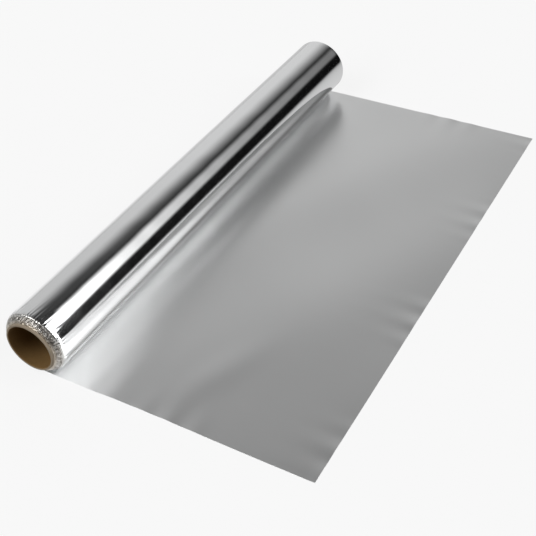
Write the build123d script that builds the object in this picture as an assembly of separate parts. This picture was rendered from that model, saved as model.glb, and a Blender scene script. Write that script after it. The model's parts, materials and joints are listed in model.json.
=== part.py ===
from build123d import *
from math import asin, cos, exp, pi, radians, sin
import os

# A household roll of aluminium foil, lying on a flat surface with its free end pulled out.
# The origin is on the roll's axis, halfway along the cardboard tube. The axis is Y, and the
# sheet runs out towards +X, on the flat surface that touches the roll from below.

# Driving dimensions, in millimetres and degrees
web_width = 300.0  # width of the foil, from side edge to side edge
winding_depth = 3.75  # build-up of wound foil on the tube
free_length = 149.0  # foil laid out, from the line where the roll touches it to the free edge
foil_thickness = 0.25  # one modelled turn and the laid-out sheet
core_bore = 25.0  # inside diameter of the cardboard tube
core_wall = 1.2  # thickness of the cardboard
core_overhang = 3.6  # how far the tube stands past the foil's width at each end
core_edge = 0.3  # bevel of the tube's cut edges
winding_clearance = 0.05  # between the tube and the first turn
parting_angle = 8.0  # past the bottom, where the turn beneath comes clear of the sheet

# The wound turns show on each end as bands that wandered sideways while they were wound.
# Every band is as wide as the foil, so what stands out at one end is drawn in at the other.
band_count = 7
band_drift = 2.4  # the turns on the tube lie this far towards -Y of the outermost turn
band_power = 2.4  # above 1, the bands step back ever faster towards the outside
band_lean = 0.5  # how far a band's end leans from square, in degrees
band_heading = 137.0  # the direction of the lean turns by this from one band to the next
rim_depth = 1.0  # how far the outer turns are pressed in at the rim towards -Y
rim_length = 2.6  # along the axis, from where they start to bend in
rim_floor = 0.6  # up to this height over the surface, the foil isn't pressed in

# Relief of the laid-out sheet, as heights above the surface
sheet_rise = 0.02  # underside of the sheet where it comes out from under the roll
settle_length = 45.0  # foil over which the sheet comes free of the roll's pull
swell_height = 0.9  # broad soft swells in the middle of the sheet
swell_length_x = 110.0  # from one swell to the next
swell_length_y = 136.0
swell_skew = 0.25  # of a swell, how far they step along X from one to the next across the width
edge_hold = 0.12  # share of the swells that is left at the side edges and at the free edge
fold_height = 0.3  # one soft fold, where the foil was gripped
fold_x = 78.0  # middle of the fold
fold_y = -116.0
fold_heading = 70.0  # direction of the fold's crest, from X towards Y
fold_width = 9.0
fold_reach = 30.0
crimp_height = 0.3  # small crimps along the cut edges
crimp_spacing = 15.0
crimp_reach = 8.0  # how far the crimps run in from the edge
crimp_group = 94.0  # from one group of crimps to the next
near_crimps_x = 50.0  # where a group starts on the side edge towards -Y
far_crimps_x = 72.0  # and on the side edge towards +Y
free_crimps_y = -62.0  # and on the free edge
relief_step = 3.9  # spacing of the points that carry the relief

# Worked out from the driving dimensions
tube_radius = core_bore / 2 + core_wall
first_turn_radius = tube_radius + winding_clearance
roll_radius = first_turn_radius + winding_depth
surface_z = -roll_radius
lap_radius = roll_radius - foil_thickness / 2
band_thickness = (winding_depth - 2 * foil_thickness) / band_count
tube_length = web_width + 2 * core_overhang
root_x = lap_radius * sin(radians(parting_angle)) / 2


def ease(share):
    # A smooth step from 0 to 1
    held = min(max(share, 0.0), 1.0)
    return held * held * (3 - 2 * held)


def swells(x, y):
    # Broad swells that die out towards the cut edges, which lie almost flat
    turn_y = 2 * pi * y / swell_length_y
    wave = sin(2 * pi * x / swell_length_x + swell_skew * turn_y) * cos(turn_y)
    side_hold = 1 - (2 * y / web_width) ** 4
    end_hold = 1 - (x / free_length) ** 6
    hold = edge_hold + (1 - edge_hold) * side_hold * end_hold
    return swell_height * (1 + wave) / 2 * hold


def fold(x, y):
    # A soft ridge along the fold's heading, fading towards both ends
    heading = radians(fold_heading)
    off_crest = (x - fold_x) * sin(heading) - (y - fold_y) * cos(heading)
    along_crest = (x - fold_x) * cos(heading) + (y - fold_y) * sin(heading)
    return fold_height * exp(-((off_crest / fold_width) ** 2) - (along_crest / fold_reach) ** 2)


def crimps(run, inset):
    # Crimps come in groups as one runs along an edge, and die out with the inset from it
    group = max(sin(2 * pi * run / crimp_group), 0.0)
    ripple = sin(pi * run / crimp_spacing) ** 2
    return crimp_height * group * ripple * exp(-inset / crimp_reach)


def relief(x, y):
    # Height of the sheet's underside over the surface, at x from the roll's axis and y along it
    side = web_width / 2
    near_edge = crimps(x - near_crimps_x, side + y)
    far_edge = crimps(x - far_crimps_x, side - y)
    free_edge = crimps(y - free_crimps_y, free_length - x)
    height = swells(x, y) + fold(x, y) + near_edge + far_edge + free_edge
    return sheet_rise + ease((x - root_x) / settle_length) * height


def spread(start, stop):
    # Evenly spaced places from start to stop, about one relief step apart
    count = max(round((stop - start) / relief_step), 2)
    return [start + (stop - start) * i / count for i in range(count + 1)]


def laid_out_sheet():
    # The free end of the foil: a curved face through the relief, thickened upwards
    side = web_width / 2
    places_y = spread(-side, side)
    grid = [[(x, y, surface_z + relief(x, y)) for y in places_y] for x in spread(root_x, free_length)]
    underside = Face.make_surface_from_array_of_points(grid)
    return Solid.thicken(underside, foil_thickness, normal_override=(0, 0, 1))


def outer_turn():
    # The outermost turn comes down the -X side to the bottom, where it runs out as the sheet.
    # On the +X side the turn beneath shows, one foil thickness further in, so the outline is a
    # half circle of the full radius and one of the lap radius, both tangent at the top.
    parting = radians(parting_angle - 90)
    lap_centre = foil_thickness / 2
    top = (0, roll_radius)
    parting_point = (lap_radius * cos(parting), lap_centre + lap_radius * sin(parting))
    outline = [
        ThreePointArc((0, surface_z), (-roll_radius, 0), top),
        ThreePointArc(top, (lap_radius, lap_centre), parting_point),
        Line(parting_point, (parting_point[0], surface_z)),
        Line((parting_point[0], surface_z), (0, surface_z)),
    ]
    return extrude(make_face(Plane.XZ * Wire(outline)), web_width / 2, both=True)


def band(index):
    # One band of turns, the innermost first: a drum whose ends lean a little from square
    radius = first_turn_radius + (index + 1) * band_thickness
    offset = band_drift * ((index / band_count) ** band_power - 1)
    lean = radians(band_lean)
    drum = extrude(Plane.XZ * Circle(radius), web_width, both=True)
    for side in (-1, 1):
        heading = radians(band_heading * (index + 1) * side)
        outwards = (sin(lean) * cos(heading), side * cos(lean), sin(lean) * sin(heading))
        end_plane = Plane(origin=(0, offset + side * web_width / 2, 0), z_dir=outwards)
        drum = split(drum, bisect_by=end_plane, keep=Keep.BOTTOM)
    return drum


def pressed_rim():
    # What is missing round the rim towards -Y: a ring with a round inner side that starts
    # tangent to the roll and ends the rim depth further in, level with the foil's side edge.
    # The ring stops short of the bottom, where the roll rests on its sheet.
    edge = -web_width / 2
    bend_start = edge + rim_length
    bend_radius = (rim_length**2 + rim_depth**2) / (2 * rim_depth)
    half_bend = asin(rim_length / bend_radius) / 2
    bend_middle = (
        roll_radius - bend_radius * (1 - cos(half_bend)),
        bend_start - bend_radius * sin(half_bend),
    )
    inner = roll_radius - rim_depth
    outer = roll_radius + rim_depth
    beyond = edge - band_drift - rim_depth
    outline = [
        ThreePointArc((roll_radius, bend_start), bend_middle, (inner, edge)),
        Line((inner, edge), (inner, beyond)),
        Line((inner, beyond), (outer, beyond)),
        Line((outer, beyond), (outer, bend_start)),
        Line((outer, bend_start), (roll_radius, bend_start)),
    ]
    resting_foil = Pos(0, 0, surface_z) * Box(2 * outer, tube_length, 2 * rim_floor)
    return revolve(make_face(Wire(outline)), Axis.Y) - resting_foil


def foil_web():
    # The wound turns and the laid-out sheet are one continuous strip
    web = outer_turn() + laid_out_sheet()
    for index in range(band_count):
        web += band(index)
    web -= pressed_rim()
    return web - extrude(Plane.XZ * Circle(first_turn_radius), tube_length, both=True)


def core_tube():
    # A wound cardboard tube, cut square, with its edges eased by the saw
    tube = extrude(Plane.XZ * Circle(tube_radius), tube_length / 2, both=True)
    tube -= extrude(Plane.XZ * Circle(core_bore / 2), tube_length, both=True)
    rims = tube.edges().filter_by(GeomType.CIRCLE)
    return chamfer(rims, core_edge)


os.makedirs("parts", exist_ok=True)
export_step(foil_web(), "parts/foil_web.step")
export_step(core_tube(), "parts/core_tube.step")
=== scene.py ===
import json
from math import pi, radians
import bpy
import numpy as np
from mathutils import Matrix, Vector


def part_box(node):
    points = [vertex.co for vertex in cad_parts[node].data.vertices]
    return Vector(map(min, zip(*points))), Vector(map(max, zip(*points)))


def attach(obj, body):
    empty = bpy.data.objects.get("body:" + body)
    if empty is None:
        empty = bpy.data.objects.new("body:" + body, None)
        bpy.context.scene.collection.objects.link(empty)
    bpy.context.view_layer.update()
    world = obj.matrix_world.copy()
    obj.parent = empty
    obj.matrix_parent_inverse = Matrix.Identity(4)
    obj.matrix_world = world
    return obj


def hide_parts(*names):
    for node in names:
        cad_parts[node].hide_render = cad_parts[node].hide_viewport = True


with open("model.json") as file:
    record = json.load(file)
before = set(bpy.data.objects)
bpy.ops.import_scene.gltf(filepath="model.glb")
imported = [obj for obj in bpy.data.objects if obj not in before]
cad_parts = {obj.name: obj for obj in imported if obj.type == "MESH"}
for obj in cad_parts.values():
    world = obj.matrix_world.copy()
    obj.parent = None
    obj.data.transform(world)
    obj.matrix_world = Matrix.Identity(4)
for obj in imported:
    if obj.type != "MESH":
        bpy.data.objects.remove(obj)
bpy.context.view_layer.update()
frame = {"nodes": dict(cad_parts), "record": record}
print("Loaded the frame:", sorted(frame["nodes"]))

# Sizes that everything else follows, in metres, read from the frame
webLow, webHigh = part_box("foil_web")
tubeLow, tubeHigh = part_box("core_tube")
rollRadius = -webLow.x  # the roll's axis is Y, through the origin
floorHeight = webLow.z
freeEdge = webHigh.x
tubeRadius = tubeHigh.z
tubeEnd = tubeHigh.y
boreRadius = frame["record"]["mounts"][0]["dims"]["r_mm"] / 1000
halfWidth = 0.150  # the foil is 300 mm wide


# Camera

cameraSettings = {
    "place": (0.27044, -0.38108, 0.32009),
    "heading": -31.04,  # degrees from +Y, turning towards +X
    "down": 39.81,
    "roll": -3.02,
    "lens": 65.79,
    "sensor": 36.0,
    "clipStart": 0.01,
}


def addCamera(s):
    # Aim = heading and down angle; the picture's right and up are then turned by the roll
    heading, down, roll = (radians(s[k]) for k in ("heading", "down", "roll"))
    aim = Vector((np.sin(heading) * np.cos(down), np.cos(heading) * np.cos(down), -np.sin(down)))
    right = aim.cross(Vector((0, 0, 1))).normalized()
    up = right.cross(aim)
    turnedRight = right * np.cos(roll) + up * np.sin(roll)
    turnedUp = up * np.cos(roll) - right * np.sin(roll)
    camera = bpy.data.objects.new("camera", bpy.data.cameras.new("camera"))
    camera.data.lens = s["lens"]
    camera.data.sensor_width = s["sensor"]
    camera.data.clip_start = s["clipStart"]
    turn = Matrix((turnedRight, turnedUp, -aim)).transposed().to_4x4()
    camera.matrix_world = Matrix.Translation(s["place"]) @ turn
    bpy.context.scene.collection.objects.link(camera)
    bpy.context.scene.camera = camera


addCamera(cameraSettings)
bpy.context.scene.view_settings.view_transform = "Standard"
print("Camera placed")


# Shader maths

class Signal:
    # One output socket of a node tree; Python's operators on it add Math nodes
    def __init__(self, nodeBook, socket):
        self.nodeBook = nodeBook
        self.socket = socket

    def calc(self, operation, *others):
        # One Math node, of this and the other values
        inputs = {i + 1: other for i, other in enumerate(others)}
        return self.nodeBook.add("ShaderNodeMath", {"operation": operation}, {0: self, **inputs})

    def __add__(self, other):
        return self.calc("ADD", other)

    def __sub__(self, other):
        return self.calc("SUBTRACT", other)

    def __mul__(self, other):
        return self.calc("MULTIPLY", other)

    def __truediv__(self, other):
        return self.calc("DIVIDE", other)

    def __pow__(self, other):
        return self.calc("POWER", other)

    def __rsub__(self, other):
        return self * -1 + other

    def __rtruediv__(self, other):
        return self ** -1 * other

    __radd__ = __add__
    __rmul__ = __mul__


class NodeBook:
    # A node tree that is written from the first node to the last
    def __init__(self, tree):
        self.tree = tree
        tree.nodes.clear()

    def add(self, kind, settings=None, inputs=None, out=0):
        # Any node: its settings first, then the values or links of its sockets
        node = self.tree.nodes.new(kind)
        for key, value in (settings or {}).items():
            setattr(node, key, value)
        for key, value in (inputs or {}).items():
            socket = node.inputs[key]
            if isinstance(value, Signal):
                self.tree.links.new(value.socket, socket)
            else:
                socket.default_value = value
        return Signal(self, node.outputs[out]) if len(node.outputs) else None

    def smooth(self, value, start, stop):
        # A smooth step from 0 at start to 1 at stop
        limits = {"From Min": start, "From Max": stop}
        kind = {"interpolation_type": "SMOOTHSTEP"}
        return self.add("ShaderNodeMapRange", kind, {"Value": value, **limits})

    def split(self, vector):
        # The three numbers of a vector
        node = self.add("ShaderNodeSeparateXYZ", None, {0: vector}).socket.node
        return [Signal(self, socket) for socket in node.outputs]

    def blend(self, share, first, second):
        # Colours: the first at 0, the second at 1
        return self.add("ShaderNodeMix", {"data_type": "RGBA"}, {0: share, 6: first, 7: second}, 2)

    def noise(self, place, scale, detail=2.0, stretch=(1, 1, 1)):
        # Noise from 0 to 1; a stretch over 1 makes it finer that way
        mapped = self.add("ShaderNodeMapping", None, {"Vector": place, "Scale": stretch})
        grain = {"Vector": mapped, "Scale": scale, "Detail": detail}
        return self.add("ShaderNodeTexNoise", None, grain)

    def bump(self, height, distance=1.0):
        # Shading as if the surface stood out by the height times the distance
        inputs = {"Strength": 1.0, "Distance": distance, "Height": height}
        return self.add("ShaderNodeBump", None, inputs)


def between(share, first, last):
    # The first at a share of 0, the last at 1
    return share * (last - first) + first


def fromAxis(book, place):
    # Distance from the roll's axis = root of (x squared plus z squared)
    x, _, z = book.split(place)
    return (x * x + z * z) ** 0.5


# Light: a studio whose lamps hang parallel to the roll

studioSettings = {
    # Angles round the roll's axis, in degrees: 0 is towards +X, 90 is up, 180 towards -X.
    # Each edge runs from nothing to full, or back. Near is as seen square to the roll, far is
    # as seen along it, and turn is the share of the direction along +Y between the two.
    "turn": (0.48, 0.78),
    "panelFromNear": (28.0, 37.5),  # lower edge of the long softbox
    "panelFromFar": (28.0, 42.0),
    "panelToNear": (60.0, 79.0),  # its upper edge
    "panelToFar": (56.0, 77.0),
    "panelStrength": 0.85,
    "panelEnd": 0.61,  # share of the direction along +Y where it has that strength
    "panelFade": 0.115,
    "panelMost": 2.8,  # it gets no stronger than this on the viewer's side
    "panelStart": (-0.50, -0.12),  # the share over which it begins
    "panelFront": 0.04,  # what there is of it before that
    "droop": 38.0,  # its lower edge hangs this much lower for part of the way
    "droopTurn": (-0.05, 0.12, 0.40, 0.49),
    "dip": 13.0,  # and its upper edge lies lower on the viewer's side
    "dipTurn": (0.12, 0.40),
    "fillStrength": (0.50, 0.57),  # the pale wall on the other side, near and far
    "fillNear": (99.0, 145.0),
    "fillFar": (72.0, 134.0),
    "fillFront": 0.30,  # what there is of the wall on the viewer's side
    "fillStart": (-0.20, 0.20),
    "ceiling": (0.045, 0.045),  # dim ceiling beyond the softbox, and what it gains far away
    "ceilingFrom": (66.0, 92.0),
    "front": 5.0,  # a soft light on the viewer's side, which reaches into the tube
    "frontFrom": (95.0, 110.0),
    "frontTo": (128.0, 150.0),
    "frontReach": (-0.75, -0.15),  # the share along +Y over which it ends
    "gloom": 0.003,  # what the darkest parts keep
    "backdrop": 0.94,  # what the camera sees instead of the studio
}


def lightStudio(s):
    # Brightness = a softbox between two angles, fading along +Y, plus a wall with a soft edge,
    # a dim ceiling and a light on the viewer's side. The camera sees a plain backdrop instead.
    world = bpy.data.worlds.new("studio")
    bpy.context.scene.world = world
    world.use_nodes = True
    book = NodeBook(world.node_tree)
    x, y, z = book.split(book.add("ShaderNodeTexCoord"))  # the direction of the ray
    angle = z.calc("ARCTAN2", x) * (180 / pi)
    turn = book.smooth(y, *s["turn"])

    def edge(near, far, drop=0):
        # From 0 to 1 between two angles, which change from near to far; a drop lowers both
        start, stop = (between(turn, a, b) for a, b in zip(near, far))
        return book.smooth(angle + drop, start, stop)

    begin, full, least, end = s["droopTurn"]
    droop = book.smooth(y, begin, full) * (1 - book.smooth(y, least, end)) * s["droop"]
    dip = (1 - book.smooth(y, *s["dipTurn"])) * s["dip"]
    fade = ((s["panelEnd"] - y) / s["panelFade"]).calc("EXPONENT") * s["panelStrength"]
    lower = edge(s["panelFromNear"], s["panelFromFar"], droop)
    upper = 1 - edge(s["panelToNear"], s["panelToFar"], dip)
    reach = between(book.smooth(y, *s["panelStart"]), s["panelFront"], 1)
    panel = lower * upper * fade.calc("MINIMUM", s["panelMost"]) * reach
    wall = edge(s["fillNear"], s["fillFar"]) * between(turn, *s["fillStrength"])
    wall = wall * between(book.smooth(y, *s["fillStart"]), s["fillFront"], 1)
    nearCeiling, gain = s["ceiling"]
    ceiling = book.smooth(angle, *s["ceilingFrom"]) * (turn * gain + nearCeiling)
    front = book.smooth(angle, *s["frontFrom"]) * (1 - book.smooth(angle, *s["frontTo"]))
    front = front * (1 - book.smooth(y, *s["frontReach"])) * s["front"]
    studio = panel + wall + ceiling + front + s["gloom"]
    rays = book.add("ShaderNodeLightPath").socket.node
    seen = Signal(book, rays.outputs["Is Camera Ray"])
    through = Signal(book, rays.outputs["Is Transmission Ray"])
    pale = seen.calc("MAXIMUM", through)
    level = studio * (1 - pale) + pale * s["backdrop"]
    light = book.add("ShaderNodeBackground", None, {"Color": level, "Strength": 1.0})
    book.add("ShaderNodeOutputWorld", None, {"Surface": light})


lightStudio(studioSettings)
print("Studio lit")


# Floor

floorSettings = {
    "radius": 4.0,
    "sides": 96,
    "drop": 0.00002,  # below the lowest point of the foil
    "tone": 0.90,  # the floor's own colour
    "paleness": 0.976,  # the plain part's brightness, as the camera sees it
    "cameraShare": 0.87,  # of the plain part in what the camera sees; the rest keeps the shadow
    "boardShare": 0.90,  # of the floor that is black to the board, so that the tube is dark inside
    "mirrorPaleness": 0.90,  # what the foil mirrors of it is this bright at one place
    "mirrorPlace": (0.0, -0.15, 0.0),
    "mirrorReach": (0.22, 0.42),  # the distance from there at which half of that has changed
    "mirrorFar": (0.55, 0.02),  # into this; both on the roll's -X side and on its +X side
    "mirrorTurn": (-0.02, 0.25),  # where one side turns into the other, along X
}


def addFloor(s):
    # A round flat floor just under the foil. What the foil mirrors of it is a mix of two
    # brightnesses, with the first one's share 1 / (1 + (distance / reach) cubed).
    turn = np.linspace(0, 2 * pi, s["sides"], endpoint=False)
    height = floorHeight - s["drop"] + 0 * turn
    ring = np.stack([np.cos(turn) * s["radius"], np.sin(turn) * s["radius"], height], 1)
    mesh = bpy.data.meshes.new("floor")
    mesh.from_pydata(ring.tolist(), [], [list(range(len(ring)))])
    floor = bpy.data.objects.new("floor", mesh)
    bpy.context.scene.collection.objects.link(floor)
    material = bpy.data.materials.new("paleFloor")
    material.use_nodes = True
    material.cycles.emission_sampling = "NONE"
    book = NodeBook(material.node_tree)
    place = book.add("ShaderNodeTexCoord", None, None, "Object")
    sides = {0: place, 1: s["mirrorPlace"]}
    distance = book.add("ShaderNodeVectorMath", {"operation": "DISTANCE"}, sides, "Value")
    rays = book.add("ShaderNodeLightPath").socket.node
    seen = Signal(book, rays.outputs["Is Camera Ray"])
    mirrored = Signal(book, rays.outputs["Is Glossy Ray"])
    diffused = Signal(book, rays.outputs["Is Diffuse Ray"])
    side = book.smooth(book.split(place)[0], *s["mirrorTurn"])
    away, reach = (between(side, *ends) for ends in (s["mirrorFar"], s["mirrorReach"]))
    nearby = 1 / ((distance / reach) ** 3 + 1)
    level = seen * s["paleness"] + mirrored * between(nearby, away, s["mirrorPaleness"])
    tone = s["tone"]
    matte = book.add("ShaderNodeBsdfDiffuse", None, {"Color": (tone, tone, tone, 1)})
    plain = book.add("ShaderNodeEmission", None, {"Color": level, "Strength": 1.0})
    share = seen * s["cameraShare"] + mirrored + diffused * s["boardShare"]
    mixed = book.add("ShaderNodeMixShader", None, {0: share, 1: matte, 2: plain})
    book.add("ShaderNodeOutputMaterial", None, {"Surface": mixed})
    mesh.materials.append(material)


addFloor(floorSettings)
print("Floor laid")


# Meshes

def addGrid(name, points, material, closedRound=False, closedAlong=False):
    # points is rows by columns by 3; a face looks along its column step crossed with its row step
    rows, columns = points.shape[:2]
    row = np.arange(rows if closedAlong else rows - 1)[:, None]
    column = np.arange(columns if closedRound else columns - 1)[None, :]
    nextRow = (row + 1) % rows
    nextColumn = (column + 1) % columns
    corners = [row * columns + column, row * columns + nextColumn,
               nextRow * columns + nextColumn, nextRow * columns + column]
    faces = np.stack(np.broadcast_arrays(*corners), -1).reshape(-1, 4)
    mesh = bpy.data.meshes.new(name)
    mesh.from_pydata(points.reshape(-1, 3).tolist(), [], faces.tolist())
    mesh.polygons.foreach_set("use_smooth", np.ones(len(faces), bool))
    mesh.materials.append(material)
    mesh.update()
    piece = bpy.data.objects.new(name, mesh)
    bpy.context.scene.collection.objects.link(piece)
    return piece


def ease(share):
    # A smooth step from 0 to 1
    held = np.clip(share, 0, 1)
    return held * held * (3 - 2 * held)


def newMaterial(name):
    # A material, and the book of its node tree
    material = bpy.data.materials.new(name)
    material.use_nodes = True
    return material, NodeBook(material.node_tree)


# Wound foil

rollSettings = {
    "turnThickness": 0.00005,  # the foil as it shows at the lap
    "partingAngle": 8.0,  # past the bottom, where the turn beneath comes clear of the sheet
    "clearance": 0.00005,  # between the tube and the first turn
    "drift": 0.0024,  # the turns on the tube lie this far towards -Y of the outermost one
    "driftPower": 2.4,
    "rimDepth": 0.0010,  # how far the outer turns are pressed in at the rim towards -Y
    "rimLength": 0.0026,
    "farRim": 0.0003,  # rounding of the other rim
    "turnPitch": 0.00034,  # from one ridge of foil edges to the next
    "ridgeHeight": 0.00012,
    "crush": 0.00020,  # dents in the edges of the turns
    "pleat": 0.00016,  # pleats of the outer turns at the rim towards -Y
    "pleatMiddle": 0.5,  # the share of that about which they vary
    "pleatMost": 1.4,  # and the largest share
    "pleatReach": 0.0045,
    "undulation": 0.00006,  # soft unevenness of the outermost turn
    # Waves of the unevenness, the pleats and the dents: each a count round the roll and a length
    "softWaves": [(2, 0.047), (3, 0.071), (5, 0.033), (1, 0.118), (4, 0.023)],
    "pleatWaves": [(23, 0.021), (37, 0.013), (58, 0.034), (14, 0.017), (79, 0.009)],
    "dentWaves": [(9, 0.0041), (17, 0.0023), (31, 0.0016), (46, 0.0027), (71, 0.0013)],
    "seeds": (3, 5, 11),  # of those three
    "evenEdge": 0.01,  # the unevenness comes up over this length from each rim
    "restingAngle": 50.0,  # to each side of the bottom, where the roll's weight smooths the foil
    "grip": 0.0004,  # over this depth from the tube, the ends grow from even to ragged
    "columns": 396,
    "lapColumns": (0.25, 0.5, 0.75, 0.92),  # more columns between the bottom and the parting
    "sideRows": 124,
    "endRows": 40,
    "rimRows": 16,
    "farRimRows": 6,
}


def bumps(angle, along, seed, waves, stretch=2.7):
    # A sum of sine waves that close round the roll, with seeded phases, from about -1 to 1. A
    # wave is its count round the roll and its length along it; it comes and goes over that
    # length times the stretch.
    rng = np.random.default_rng(seed)
    total = np.zeros(np.broadcast(angle, along).shape)
    for roundCount, alongPitch in waves:
        phase, slant = rng.uniform(0, 2 * pi, 2)
        run = 2 * pi * along / alongPitch
        total += np.sin(roundCount * angle + run + phase) * np.cos(run / stretch + slant)
    return total / np.sqrt(len(waves))


def endProfile(s):
    # Radius and place of each row: out over the near end, along the side, in over the far end.
    # An end's place = drift * (share of the build-up to a power - 1), so the turns on the tube
    # stand out at the near end and are drawn in at the far one.
    first = tubeRadius + s["clearance"]
    depth = rollRadius - first
    rimRadius = rollRadius - s["rimDepth"]
    nearRadius = np.linspace(first, rimRadius, s["endRows"])
    near = s["drift"] * (((nearRadius - first) / (rimRadius - first)) ** s["driftPower"] - 1)
    bend = (s["rimLength"] ** 2 + s["rimDepth"] ** 2) / (2 * s["rimDepth"])
    step = np.linspace(0, s["rimLength"], s["rimRows"] + 1)[1:]
    rim = rollRadius - bend + np.sqrt(bend ** 2 - (s["rimLength"] - step) ** 2)
    side = np.linspace(s["rimLength"], 2 * halfWidth - s["farRim"], s["sideRows"] + 1)[1:]
    arc = np.linspace(0, pi / 2, s["farRimRows"] + 1)[1:]
    farRadius = np.linspace(rollRadius - s["farRim"], first, s["endRows"])[1:]
    far = s["drift"] * (((farRadius - first) / depth) ** s["driftPower"] - 1)
    arcRadius = rollRadius - s["farRim"] * (1 - np.cos(arc))
    arcPlace = 2 * halfWidth - s["farRim"] * (1 - np.sin(arc))
    radius = np.concatenate([nearRadius, rim, 0 * side + rollRadius, arcRadius, farRadius])
    place = np.concatenate([near, step, side, arcPlace, 2 * halfWidth + far])
    end = np.concatenate([0 * near - 1, 0 * step, 0 * side, 0 * arc, 0 * far + 1])
    return radius, place - halfWidth, end


def woundFoil(s, material):
    # The radius is the roll's on the -X side and slightly less on the +X side, where the sheet
    # has left. The profile is carried round the axis, and the surface is closed.
    parting = radians(s["partingAngle"])
    bottom = 3 * pi / 2
    angle = np.linspace(parting - pi / 2, bottom, s["columns"])
    angle = np.append(angle, bottom + parting * np.array(s["lapColumns"]))
    lap = s["turnThickness"] * np.where(angle < pi / 2, 1 - np.sin(angle), 0) / 2
    lap += s["turnThickness"] * ease((angle - bottom) / parting)
    radius, place, end = (row[:, None] for row in endProfile(s))
    angle = angle[None, :]
    first = tubeRadius + s["clearance"]
    outer = ease((radius - first) / (rollRadius - first))
    resting = ease(1 - np.abs(angle - bottom) / radians(s["restingAngle"]))
    softSeed, pleatSeed, dentSeed = s["seeds"]

    # The outermost turn: soft unevenness, and pleats that run in from the near rim
    soft = bumps(angle, place, softSeed, s["softWaves"])
    fromRim = np.maximum(place + halfWidth, 0)
    inside = ease(fromRim / s["evenEdge"]) * ease((halfWidth - place) / s["evenEdge"]) * (end == 0)
    sink = s["undulation"] * (1 + np.clip(soft, -1, 1)) / 2 * inside
    folds = s["pleatMiddle"] + bumps(angle, fromRim, pleatSeed, s["pleatWaves"])
    fading = np.exp(-fromRim / s["pleatReach"]) * outer * (end < 1)
    sink = sink + s["pleat"] * np.clip(folds, 0, s["pleatMost"]) * fading
    grid = radius - lap[None, :] * outer - sink * (1 - resting)

    # Edges of the turns on the ends: fine ridges, crushed here and there
    fromCore = radius - first
    ridge = np.abs((fromCore / s["turnPitch"]) % 1 * 2 - 1) * s["ridgeHeight"]
    dents = bumps(angle, fromCore, dentSeed, s["dentWaves"])
    held = np.minimum(fromCore / s["grip"], 1)
    inset = (ridge + s["crush"] * (1 + dents)) * np.abs(end) * held
    along = place - end * inset + 0 * grid
    points = np.stack([grid * np.cos(angle), along, grid * np.sin(angle)], -1)
    # Rows from the far end to the near one, so that the faces look outwards
    return addGrid("woundFoil", points[::-1], material, closedRound=True, closedAlong=True)


brightSettings = {
    "colour": (0.905, 0.91, 0.915),
    "roughness": (0.07, 0.13),
    "drawnScale": 60,  # of the streaks round the roll, along which it is rougher or smoother
    "waveScale": 45,
    "waveHeight": 0.00002,
    "grainScale": 650,
    "shadedRimColour": (0.66, 0.65, 0.63),  # the pressed rim, darkened by painted shade of its crinkles
    "rimInset": (0.0006, 0.0002),  # how far in from the roll's outside it is full, and begins
    "rimRoughness": 0.20,
    "glintColour": (0.62, 0.60, 0.57),  # painted glints on the edges of the turns, where they catch the light
    "gapShadeColour": (0.11, 0.095, 0.078),  # and painted shade between them
    "edgeInset": (0.0012, 0.0009),  # how far in they show in full, and begin
    "edgeRagged": 0.0012,  # how far their outer border wanders
    "edgeRoughness": 0.26,
    "ringHeight": 0.22,  # how much the rings stand out from the grain
    "ringBreak": 9,  # how much the grain breaks them
    "ringShare": 0.45,
    "ringContrast": (0.40, 0.60),
    "boardReflectionColour": (0.50, 0.44, 0.36),  # a painted reflection of the board beside the tube, whose board they mirror
    "boardReflectionReach": 0.0018,
    "boardReflectionShare": 0.75,
    "crinkleHeight": 0.00022,
}


def brightFoil(s):
    # The foil's bright side; on the ends the edges of the turns show as broken rings of painted
    # glints and painted shade, with a painted reflection of the board beside the tube, and the
    # pressed rim is darkened with painted shade
    material, book = newMaterial("brightFoil")
    place = book.add("ShaderNodeTexCoord", None, None, "Object")
    radius = fromAxis(book, place)
    grain = book.noise(place, s["grainScale"], detail=3)

    def within(distance, depths):
        # 0 at the roll's outside, and 1 from the first depth inwards
        full, begin = depths
        return 1 - book.smooth(distance, rollRadius - full, rollRadius - begin)

    inRim = within(radius, s["rimInset"])
    inEnd = within(radius + (grain - 0.5) * s["edgeRagged"], s["edgeInset"])
    turns = radius * (2 * pi / rollSettings["turnPitch"]) + grain * s["ringBreak"]
    rings = turns.calc("SINE") * s["ringHeight"] + 0.5
    # Painted glints along the rings, with painted shade between them
    glintShare = book.smooth(between(s["ringShare"], grain, rings), *s["ringContrast"])
    edges = book.blend(glintShare, (*s["gapShadeColour"], 1), (*s["glintColour"], 1))
    # A painted reflection of the board beside the tube
    besideTube = 1 - book.smooth(radius, tubeRadius, tubeRadius + s["boardReflectionReach"])
    edges = book.blend(besideTube * s["boardReflectionShare"], edges, (*s["boardReflectionColour"], 1))
    # The pressed rim darkened by painted shade of its crinkles
    colour = book.blend(inRim, (*s["colour"], 1), (*s["shadedRimColour"], 1))
    colour = book.blend(inEnd, colour, edges)
    drawn = book.noise(place, s["drawnScale"], detail=3, stretch=(1, 6, 1))
    roughness = between(inRim, between(drawn, *s["roughness"]), s["rimRoughness"])
    roughness = between(inEnd, roughness, s["edgeRoughness"])
    wave = book.noise(place, s["waveScale"], stretch=(1, 0.6, 1)) * s["waveHeight"]
    crinkle = grain * inRim * s["crinkleHeight"]
    surface = book.add("ShaderNodeBsdfPrincipled", None, {
        "Base Color": colour, "Metallic": 1.0, "Roughness": roughness,
        "Normal": book.bump(wave + crinkle)})
    book.add("ShaderNodeOutputMaterial", None, {"Surface": surface})
    return material


roll = woundFoil(rollSettings, brightFoil(brightSettings))
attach(roll, "root")
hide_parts("foil_web")
print("Wound foil made")


# Laid-out sheet

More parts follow.
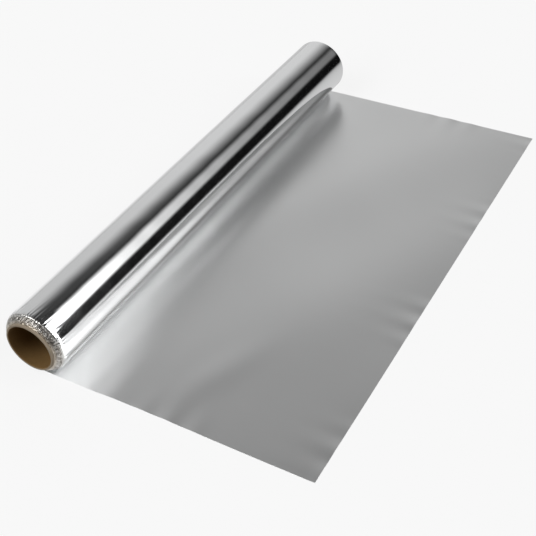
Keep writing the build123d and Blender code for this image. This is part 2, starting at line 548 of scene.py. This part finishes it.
sheetSettings = {
    "thickness": 0.00005,
    "root": 0.0012,  # where it comes out from under the roll
    "rise": 0.00002,  # its underside there
    "settleLength": 0.045,  # foil over which the sheet comes free of the roll's pull
    "swellHeight": 0.0009,
    "swellLengthX": 0.110,
    "swellLengthY": 0.136,
    "swellSkew": 0.25,
    "edgeHold": 0.12,  # share of the swells left at the cut edges
    "foldHeight": 0.0003,  # a soft fold where the foil was gripped
    "foldPlace": (0.078, -0.116),
    "foldHeading": 70.0,
    "foldWidth": 0.009,
    "foldReach": 0.030,
    "liftHeight": 0.0006,  # a slight rise at the near end, beyond the roll's mirror image
    "liftPlace": (0.0315, 0.0435),  # along X, where it begins and where it is highest
    "liftReach": 0.050,
    "crimpHeight": 0.0003,  # small crimps along the cut edges
    "crimpSpacing": 0.015,
    "crimpReach": 0.008,
    "crimpGroup": 0.094,
    "crimpStarts": (0.050, 0.072, -0.062),  # near side edge, far side edge, free edge
    "step": 0.00105,  # of the grid
    "border": 0.00002,  # from each cut edge to the next place of the grid
}


def swells(s, x, y):
    # Broad swells that die out towards the cut edges
    turnY = 2 * pi * y / s["swellLengthY"]
    wave = np.sin(2 * pi * x / s["swellLengthX"] + s["swellSkew"] * turnY) * np.cos(turnY)
    hold = (1 - (y / halfWidth) ** 4) * (1 - (x / freeEdge) ** 6)
    return s["swellHeight"] * (1 + wave) / 2 * (s["edgeHold"] + (1 - s["edgeHold"]) * hold)


def fold(s, x, y):
    # A ridge along its heading, fading as a bell curve across it and along it
    heading = radians(s["foldHeading"])
    dx, dy = x - s["foldPlace"][0], y - s["foldPlace"][1]
    across = dx * np.sin(heading) - dy * np.cos(heading)
    along = dx * np.cos(heading) + dy * np.sin(heading)
    bell = np.exp(-((across / s["foldWidth"]) ** 2) - (along / s["foldReach"]) ** 2)
    return s["foldHeight"] * bell


def lift(s, x, y):
    # A rise between two places along X, easing back to the free edge and dying out along +Y
    start, top = s["liftPlace"]
    shape = ease((x - start) / (top - start)) * (1 - ease((x - top) / (freeEdge - top)))
    return s["liftHeight"] * shape * np.exp(-(halfWidth + y) / s["liftReach"])


def crimps(s, run, inset):
    # Ripples in groups along an edge, dying out with the inset from it
    group = np.maximum(np.sin(2 * pi * run / s["crimpGroup"]), 0)
    ripple = np.sin(pi * run / s["crimpSpacing"]) ** 2
    return s["crimpHeight"] * group * ripple * np.exp(-inset / s["crimpReach"])


def places(s, start, stop):
    # Even steps, and one more place close to each cut edge, so that the shading stays true there
    even = np.linspace(start, stop, round((stop - start) / s["step"]) + 1)
    border = s["border"]
    return np.concatenate([even[:1], [start + border], even[1:-1], [stop - border], even[-1:]])


def laidSheet(s, material):
    # Height over the floor = rise + eased share of swells, fold, lift and crimps
    x = places(s, 0.0, freeEdge)[None, :]
    y = places(s, -halfWidth, halfWidth)[:, None]
    nearStart, farStart, freeStart = s["crimpStarts"]
    height = swells(s, x, y) + fold(s, x, y) + lift(s, x, y)
    height = height + crimps(s, x - nearStart, halfWidth + y)
    height = height + crimps(s, x - farStart, halfWidth - y)
    height = height + crimps(s, y - freeStart, freeEdge - x)
    z = floorHeight + s["rise"] + ease((x - s["root"]) / s["settleLength"]) * height
    points = np.stack(np.broadcast_arrays(x, y, z), -1)
    piece = addGrid("laidSheet", points, material)
    wall = piece.modifiers.new("thickness", "SOLIDIFY")
    wall.thickness = s["thickness"]
    wall.offset = 1.0
    return piece


satinSettings = {
    "colour": (0.848, 0.853, 0.852),
    "roughness": (0.28, 0.34),
    "nearRoughness": 0.06,  # what the near part has on top, as foil does that was handled more
    "nearEnd": (-0.085, -0.015),  # places along Y between which that ends
    "cloudScale": 30,
    "grainScale": 400,
    "grainHeight": 0.00001,
}


def satinFoil(s):
    # The foil's satin side, with the fine lines that rolling leaves along the web
    material, book = newMaterial("satinFoil")
    place = book.add("ShaderNodeTexCoord", None, None, "Object")
    cloud = book.noise(place, s["cloudScale"], detail=3)
    handled = 1 - book.smooth(book.split(place)[1], *s["nearEnd"])
    roughness = between(cloud, *s["roughness"]) + handled * s["nearRoughness"]
    grain = book.noise(place, s["grainScale"], stretch=(0.1, 1, 1))
    surface = book.add("ShaderNodeBsdfPrincipled", None, {
        "Base Color": (*s["colour"], 1), "Metallic": 1.0, "Roughness": roughness,
        "Normal": book.bump(grain, s["grainHeight"])})
    book.add("ShaderNodeOutputMaterial", None, {"Surface": surface})
    return material


sheet = laidSheet(sheetSettings, satinFoil(satinSettings))
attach(sheet, "root")
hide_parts("foil_web")
print("Sheet laid out")


# Cardboard tube

tubeSettings = {
    "rimRound": 0.0003,
    "rimRows": 5,
    "columns": 190,
    "outerRows": 24,
    "innerRows": 210,
    "faceRows": 4,  # on each cut end, between its rounded rims
    "seamTurns": 4,  # turns that the innermost ply's seam makes from end to end
    "seamWidth": 0.0007,
    "seamDepth": 0.00022,
    "seamColumns": (-2.0, -1.4, -1.0, -0.6, 0.0, 0.6, 1.0, 1.4, 2.0),  # in half widths of it
    "seamGap": 2.6,  # where the even columns begin, in the same unit
}


def boardTube(s, material):
    # A closed profile, outside, rounded rim, inside, rounded rim, carried round the axis. The
    # columns of the inside turn with the seam, a groove whose depth is a bell curve across it.
    arc = np.linspace(0, pi / 2, s["rimRows"])
    r, outer, inner = s["rimRound"], tubeRadius, boreRadius
    straight = np.linspace(-tubeEnd + r, tubeEnd - r, s["outerRows"])
    bore = np.linspace(tubeEnd - r, -tubeEnd + r, s["innerRows"])
    face = np.linspace(outer - r, inner + r, s["faceRows"] + 2)[1:-1]
    out, back = arc[1:], arc[:-1]
    farRadius = np.concatenate([outer - r + r * np.cos(out), face, inner + r - r * np.sin(back)])
    start = tubeEnd - r
    farPlace = np.concatenate([start + r * np.sin(out), tubeEnd + 0 * face, start + r * np.cos(back)])
    radius = np.concatenate([0 * straight + outer, farRadius, 0 * bore + inner, farRadius[::-1]])
    along = np.concatenate([straight, farPlace, bore, -farPlace[::-1]])
    radius, along = radius[:, None], along[:, None]
    half = s["seamWidth"] / 2 / inner
    nearSeam = np.array(s["seamColumns"]) * half
    rest = np.linspace(s["seamGap"] * half, 2 * pi - s["seamGap"] * half, s["columns"])
    column = np.concatenate([nearSeam, rest])[None, :]
    inBore = np.concatenate([0 * straight, 0 * farRadius, 0 * bore + 1, 0 * farRadius])
    twist = 2 * pi * s["seamTurns"] * (along / (2 * start) + 0.5) * inBore[:, None]
    fromSeam = np.minimum(column % (2 * pi), (-column) % (2 * pi)) / half
    groove = s["seamDepth"] * np.exp(-fromSeam ** 4) * (radius < inner + r)
    grid = radius + groove
    angle = column + twist
    points = np.stack([grid * np.cos(angle), along + 0 * grid, grid * np.sin(angle)], -1)
    # Rows the other way round, so that the faces look outwards
    return addGrid("boardTube", points[::-1], material, closedRound=True, closedAlong=True)


boardSettings = {
    "colour": (0.42, 0.35, 0.265),
    "darkColour": (0.30, 0.24, 0.17),
    "boreColour": (0.30, 0.18, 0.058),
    "darkBoreColour": (0.19, 0.10, 0.030),
    "boreDepth": 0.0004,  # the bore's colour has gone this far into the cut end
    "roughness": 0.85,
    "cloudScale": 120,
    "cloudShare": 0.6,  # of the mottling; the fibres make the rest
    "fibreScale": 900,
    "fibreHeight": 0.00008,
}


def greyBoard(s):
    # Wound board: fibres, paler on the outside and on the cut ends, brown kraft in the bore
    material, book = newMaterial("greyBoard")
    place = book.add("ShaderNodeTexCoord", None, None, "Object")
    radius = fromAxis(book, place)
    inBore = 1 - book.smooth(radius, boreRadius, boreRadius + s["boreDepth"])
    fibre = book.noise(place, s["fibreScale"], detail=4)
    cloud = book.noise(place, s["cloudScale"], detail=3)
    mottle = between(s["cloudShare"], fibre, cloud)
    cut = book.blend(mottle, (*s["darkColour"], 1), (*s["colour"], 1))
    kraft = book.blend(mottle, (*s["darkBoreColour"], 1), (*s["boreColour"], 1))
    colour = book.blend(inBore, cut, kraft)
    surface = book.add("ShaderNodeBsdfPrincipled", None, {
        "Base Color": colour, "Roughness": s["roughness"],
        "Normal": book.bump(fibre, s["fibreHeight"])})
    book.add("ShaderNodeOutputMaterial", None, {"Surface": surface})
    return material


tube = boardTube(tubeSettings, greyBoard(boardSettings))
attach(tube, "root")
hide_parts("core_tube")
print("Tube made")
